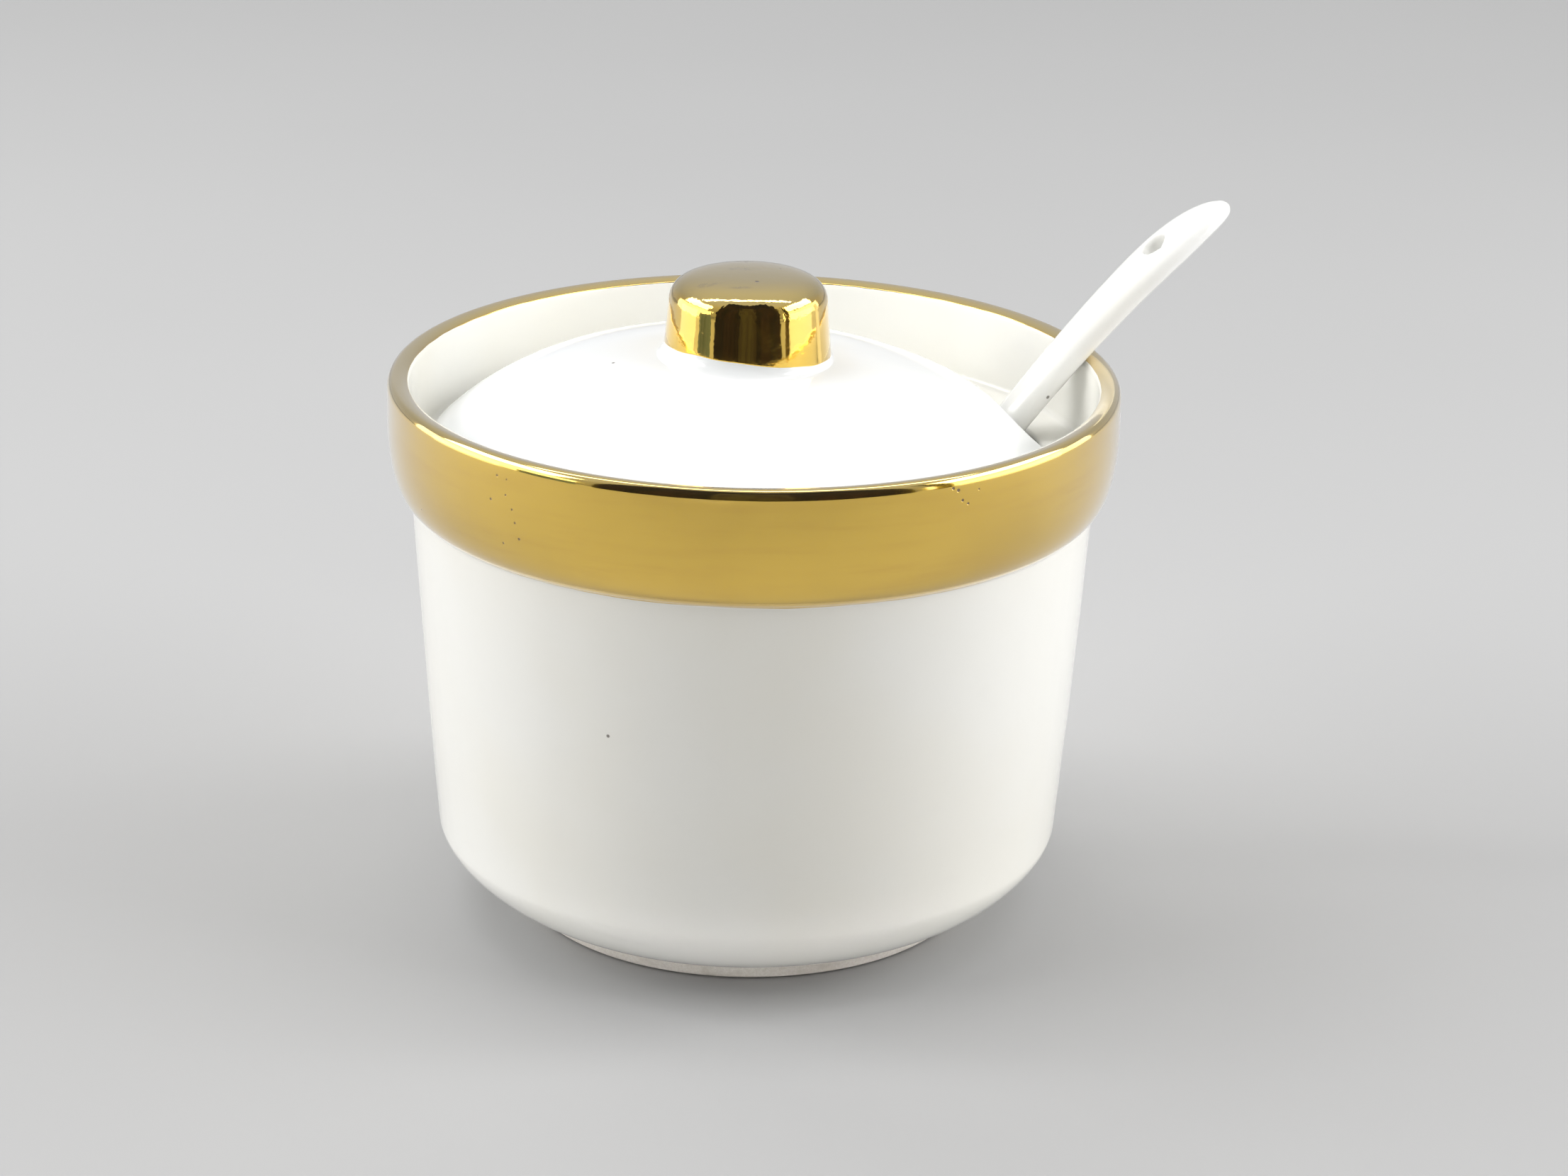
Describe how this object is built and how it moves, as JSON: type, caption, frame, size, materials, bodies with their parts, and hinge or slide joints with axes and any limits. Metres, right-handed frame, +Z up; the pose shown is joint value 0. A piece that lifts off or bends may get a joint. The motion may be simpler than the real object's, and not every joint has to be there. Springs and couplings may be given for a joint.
{
  "type": "lidded condiment pot with spoon",
  "caption": "Small glazed porcelain pot with a gold collar, a recessed domed lid with a gold knob, and a ceramic spoon that leaves through a notch in the lid.",
  "frame": {"origin": "centre of the foot ring, on the plane that the pot stands on", "axes": "+Z up along the pot's axis; the spoon lies in the upright plane 15 degrees from +X towards +Y; the pot is seen from -Y"},
  "size_m": [0.1208, 0.1044, 0.1015],
  "materials": {
    "white_glaze": "clear gloss glaze over white porcelain",
    "gold_lustre": "polished fired gold lustre"
  },
  "bodies": {
    "pot": {"pot_body": "white_glaze", "rim_gold_band": "gold_lustre"},
    "lid": {"lid_dome": "white_glaze", "lid_knob": "white_glaze", "knob_gold_coat": "gold_lustre"},
    "spoon": {"spoon": "white_glaze"}
  },
  "joints": [
    {"name": "lid_lift", "type": "slide", "parent": "pot", "child": "lid", "axis": [0, 0, 1], "range_m": [0, 0.06]},
    {"name": "spoon_draw", "type": "slide", "parent": "pot", "child": "spoon", "axis": [0.5947, 0.1593, 0.788], "range_m": [0, 0.025]}
  ]
}
